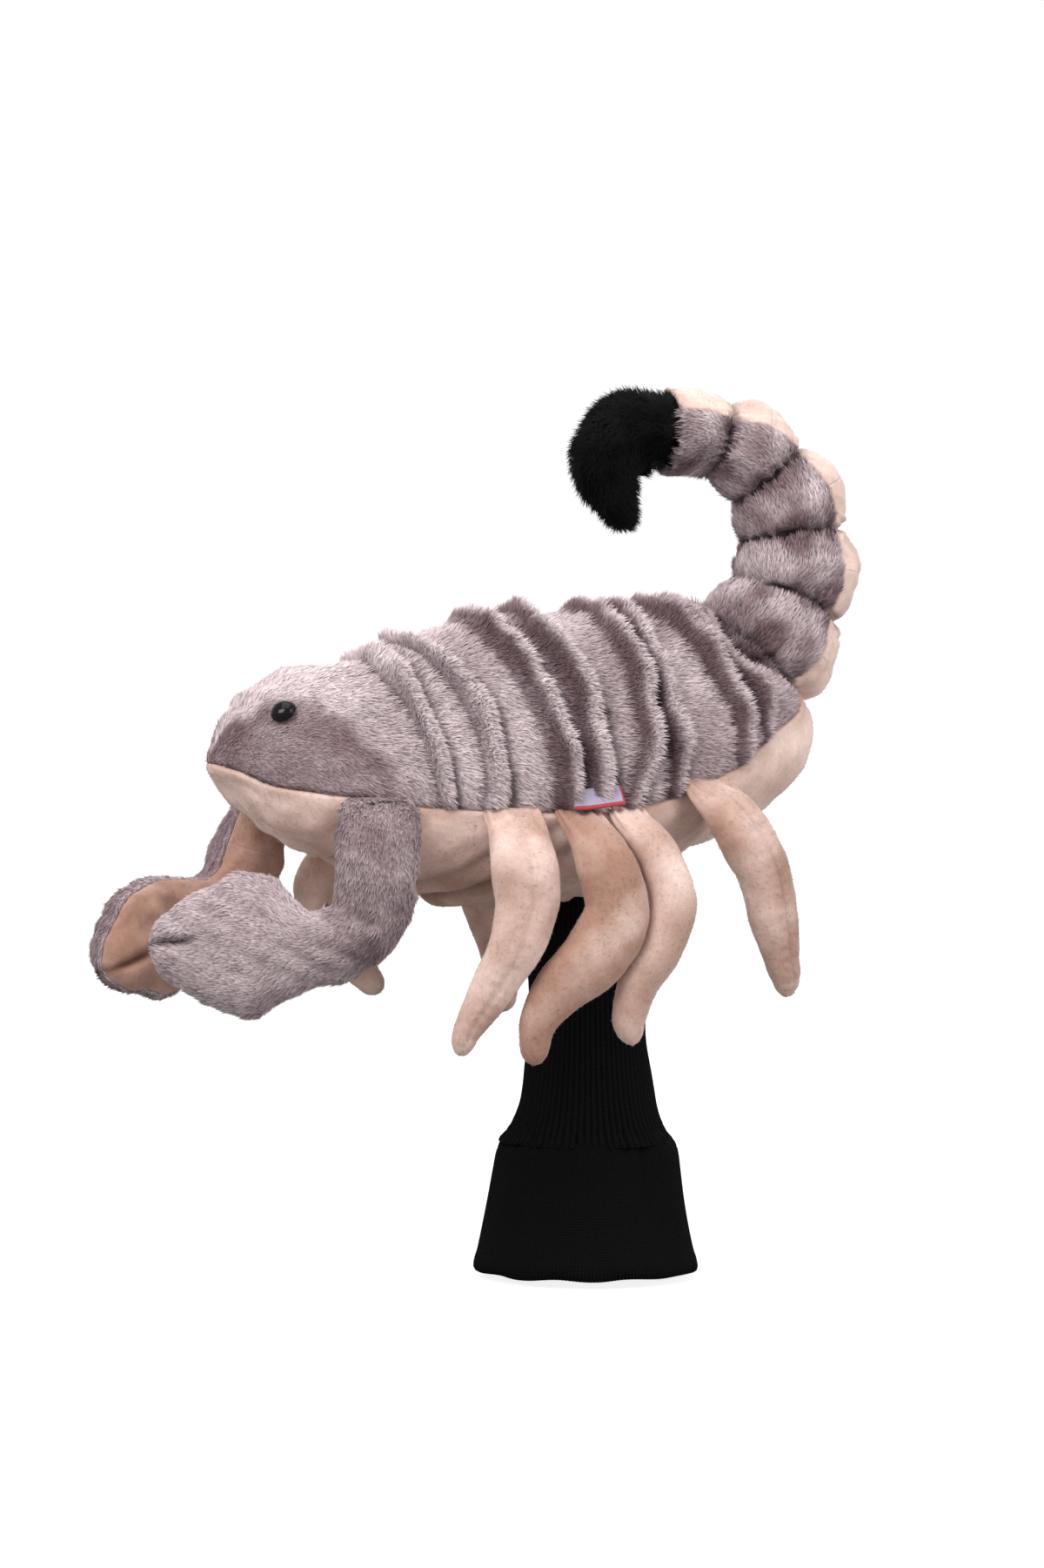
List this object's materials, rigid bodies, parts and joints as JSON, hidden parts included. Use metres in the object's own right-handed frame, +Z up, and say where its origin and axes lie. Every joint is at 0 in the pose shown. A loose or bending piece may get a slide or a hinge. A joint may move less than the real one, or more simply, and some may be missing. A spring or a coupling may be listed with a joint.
{
  "type": "plush driver head cover",
  "caption": "Plush scorpion head cover with a padded pouch for the club's head, a ribbed knitted sock for the shaft, claw arms, legs and a curled segmented tail.",
  "frame": {"origin": "middle of the sock's open end, in the plane of its rim", "axes": "+Z up along the shaft towards the club's head, -X towards the scorpion's head, -Y its left side"},
  "size_m": [0.332, 0.193, 0.3785],
  "materials": {
    "grey_plush": "soft short-pile plush with a brushed nap, matt",
    "beige_plush": "smooth minky plush, faint sheen",
    "black_plush": "long-pile plush, matt",
    "black_knit": "ribbed acrylic knit, matt",
    "inner_cloth": "smooth woven lining",
    "fibre_fill": "loose polyester fibre filling",
    "eye_plastic": "polished",
    "washer_plastic": "translucent, satin",
    "woven_label": "satin weave with a red edge"
  },
  "bodies": {
    "trunk": {"head_panel": "grey_plush", "chin_panel": "beige_plush", "back_panel": "grey_plush", "belly_panel": "beige_plush", "padding_upper": "fibre_fill", "padding_lower": "fibre_fill", "pouch_lining": "inner_cloth", "head_stuffing": "fibre_fill", "eye_left": "eye_plastic", "eye_right": "eye_plastic", "eye_washer_left": "washer_plastic", "eye_washer_right": "washer_plastic"},
    "sock": {"sock_neck": "black_knit", "sock_cuff": "black_knit"},
    "arm_left_upper": {"arm_left_upper_outer": "grey_plush", "arm_left_upper_inner": "beige_plush", "arm_left_upper_stuffing": "fibre_fill"},
    "claw_left": {"claw_left_outer": "grey_plush", "claw_left_inner": "beige_plush", "claw_left_stuffing": "fibre_fill"},
    "arm_right_upper": {"arm_right_upper_outer": "grey_plush", "arm_right_upper_inner": "beige_plush", "arm_right_upper_stuffing": "fibre_fill"},
    "claw_right": {"claw_right_outer": "grey_plush", "claw_right_inner": "beige_plush", "claw_right_stuffing": "fibre_fill"},
    "leg_left_1": {"leg_left_1_cover": "beige_plush", "leg_left_1_stuffing": "fibre_fill"},
    "leg_left_2": {"leg_left_2_cover": "beige_plush", "leg_left_2_stuffing": "fibre_fill"},
    "leg_left_3": {"leg_left_3_cover": "beige_plush", "leg_left_3_stuffing": "fibre_fill"},
    "leg_left_4": {"leg_left_4_cover": "beige_plush", "leg_left_4_stuffing": "fibre_fill"},
    "leg_right_1": {"leg_right_1_cover": "beige_plush", "leg_right_1_stuffing": "fibre_fill"},
    "leg_right_2": {"leg_right_2_cover": "beige_plush", "leg_right_2_stuffing": "fibre_fill"},
    "leg_right_3": {"leg_right_3_cover": "beige_plush", "leg_right_3_stuffing": "fibre_fill"},
    "leg_right_4": {"leg_right_4_cover": "beige_plush", "leg_right_4_stuffing": "fibre_fill"},
    "tail_1": {"tail_1_back": "grey_plush", "tail_1_belly": "beige_plush", "tail_1_stuffing": "fibre_fill"},
    "tail_2": {"tail_2_back": "grey_plush", "tail_2_belly": "beige_plush", "tail_2_stuffing": "fibre_fill"},
    "tail_3": {"tail_3_back": "grey_plush", "tail_3_belly": "beige_plush", "tail_3_stuffing": "fibre_fill"},
    "tail_4": {"tail_4_back": "grey_plush", "tail_4_belly": "beige_plush", "tail_4_stuffing": "fibre_fill"},
    "tail_5": {"tail_5_back": "grey_plush", "tail_5_belly": "beige_plush", "tail_5_stuffing": "fibre_fill"},
    "stinger": {"stinger_cover": "black_plush", "stinger_stuffing": "fibre_fill"},
    "label": {"side_label": "woven_label"}
  },
  "joints": [
    {"name": "sock_bend", "type": "hinge", "parent": "trunk", "child": "sock", "pos_m": [0, 0, 0.156], "axis": [0, 1, 0], "range_deg": [-12, 12], "stiffness_Nm_per_rad": 1},
    {"name": "shoulder_left", "type": "hinge", "parent": "trunk", "child": "arm_left_upper", "pos_m": [-0.11394, -0.05353, 0.20122], "axis": [0.9458, -0.3247, 0], "range_deg": [-40, 25], "stiffness_Nm_per_rad": 0.5},
    {"name": "elbow_left", "type": "hinge", "parent": "arm_left_upper", "child": "claw_left", "pos_m": [-0.12209, -0.06342, 0.14322], "axis": [0.3247, 0.9458, 0], "range_deg": [-35, 20], "stiffness_Nm_per_rad": 0.6},
    {"name": "shoulder_right", "type": "hinge", "parent": "trunk", "child": "arm_right_upper", "pos_m": [-0.11993, 0.05147, 0.20209], "axis": [0.9469, 0.3216, 0], "range_deg": [-25, 40], "stiffness_Nm_per_rad": 0.5},
    {"name": "elbow_right", "type": "hinge", "parent": "arm_right_upper", "child": "claw_right", "pos_m": [-0.13786, 0.06228, 0.15959], "axis": [-0.3216, 0.9469, 0], "range_deg": [-35, 20], "stiffness_Nm_per_rad": 0.6},
    {"name": "leg_left_1_swing", "type": "hinge", "parent": "trunk", "child": "leg_left_1", "pos_m": [-0.06044, -0.06657, 0.19672], "axis": [0.9886, -0.1504, 0], "range_deg": [-75, 20], "stiffness_Nm_per_rad": 0.3},
    {"name": "leg_left_2_swing", "type": "hinge", "parent": "trunk", "child": "leg_left_2", "pos_m": [-0.03213, -0.06992, 0.19642], "axis": [0.999, -0.0447, 0], "range_deg": [-45, 20], "stiffness_Nm_per_rad": 0.3},
    {"name": "leg_left_3_swing", "type": "hinge", "parent": "trunk", "child": "leg_left_3", "pos_m": [-0.01088, -0.07086, 0.19746], "axis": [0.9991, 0.0413, 0], "range_deg": [-32, 20], "stiffness_Nm_per_rad": 0.3},
    {"name": "leg_left_4_swing", "type": "hinge", "parent": "trunk", "child": "leg_left_4", "pos_m": [0.02887, -0.06398, 0.20856], "axis": [0.954, 0.2999, 0], "range_deg": [-75, 20], "stiffness_Nm_per_rad": 0.3},
    {"name": "leg_right_1_swing", "type": "hinge", "parent": "trunk", "child": "leg_right_1", "pos_m": [-0.06245, 0.06627, 0.19679], "axis": [0.9877, 0.1565, 0], "range_deg": [-20, 75], "stiffness_Nm_per_rad": 0.3},
    {"name": "leg_right_2_swing", "type": "hinge", "parent": "trunk", "child": "leg_right_2", "pos_m": [-0.03416, 0.06983, 0.19632], "axis": [0.9985, 0.0542, 0], "range_deg": [-20, 75], "stiffness_Nm_per_rad": 0.3},
    {"name": "leg_right_3_swing", "type": "hinge", "parent": "trunk", "child": "leg_right_3", "pos_m": [-0.01088, 0.07086, 0.19746], "axis": [0.9991, -0.0413, 0], "range_deg": [-20, 75], "stiffness_Nm_per_rad": 0.3},
    {"name": "leg_right_4_swing", "type": "hinge", "parent": "trunk", "child": "leg_right_4", "pos_m": [0.02887, 0.06398, 0.20856], "axis": [0.954, -0.2999, 0], "range_deg": [-20, 75], "stiffness_Nm_per_rad": 0.3},
    {"name": "tail_1_bend", "type": "hinge", "parent": "trunk", "child": "tail_1", "pos_m": [0.07484, 0, 0.26136], "axis": [0, 1, 0], "range_deg": [-3, 15], "stiffness_Nm_per_rad": 3},
    {"name": "tail_2_bend", "type": "hinge", "parent": "tail_1", "child": "tail_2", "pos_m": [0.09516, 0, 0.28736], "axis": [0, 1, 0], "range_deg": [-4, 15], "stiffness_Nm_per_rad": 2.2},
    {"name": "tail_3_bend", "type": "hinge", "parent": "tail_2", "child": "tail_3", "pos_m": [0.09829, 0, 0.3172], "axis": [0, 1, 0], "range_deg": [-5, 15], "stiffness_Nm_per_rad": 1.6},
    {"name": "tail_4_bend", "type": "hinge", "parent": "tail_3", "child": "tail_4", "pos_m": [0.08609, 0, 0.34461], "axis": [0, 1, 0], "range_deg": [-5, 15], "stiffness_Nm_per_rad": 1.1},
    {"name": "tail_5_bend", "type": "hinge", "parent": "tail_4", "child": "tail_5", "pos_m": [0.06225, 0, 0.35728], "axis": [0, 1, 0], "range_deg": [-5, 15], "stiffness_Nm_per_rad": 0.7},
    {"name": "stinger_bend", "type": "hinge", "parent": "tail_5", "child": "stinger", "pos_m": [0.03635, 0, 0.35955], "axis": [0, 1, 0], "range_deg": [-6, 15], "stiffness_Nm_per_rad": 0.4},
    {"name": "label_flap", "type": "hinge", "parent": "trunk", "child": "label", "pos_m": [-0.025, -0.06814, 0.20577], "axis": [1, 0, 0], "range_deg": [-60, 5], "stiffness_Nm_per_rad": 0.0005}
  ]
}
